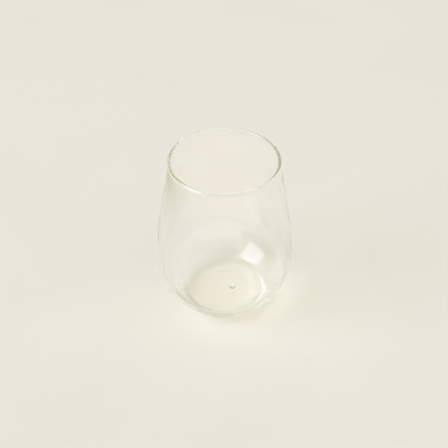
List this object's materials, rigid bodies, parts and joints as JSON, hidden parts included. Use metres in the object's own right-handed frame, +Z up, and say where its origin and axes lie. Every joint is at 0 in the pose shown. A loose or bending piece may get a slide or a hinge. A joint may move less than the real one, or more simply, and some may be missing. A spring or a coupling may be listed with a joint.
{
  "type": "stemless wine glass",
  "caption": "Stemless wine glass: clear blown bowl, widest low down, tapering straight to a fire-polished rim, on a thick base hollowed by a shallow punt; for drinking wine or water.",
  "frame": {"origin": "on the axis of the glass, at the level of the standing ring, so at the table", "axes": "+Z up along the axis of the glass, +X towards the side of the floor on which the finishing mark lies"},
  "size_m": [0.0896, 0.0894, 0.114],
  "materials": {
    "clear_glass": "clear, fire-polished, with a faint grey-green tint where the glass is thick"
  },
  "bodies": {
    "root": {"glass": "clear_glass"}
  },
  "joints": []
}
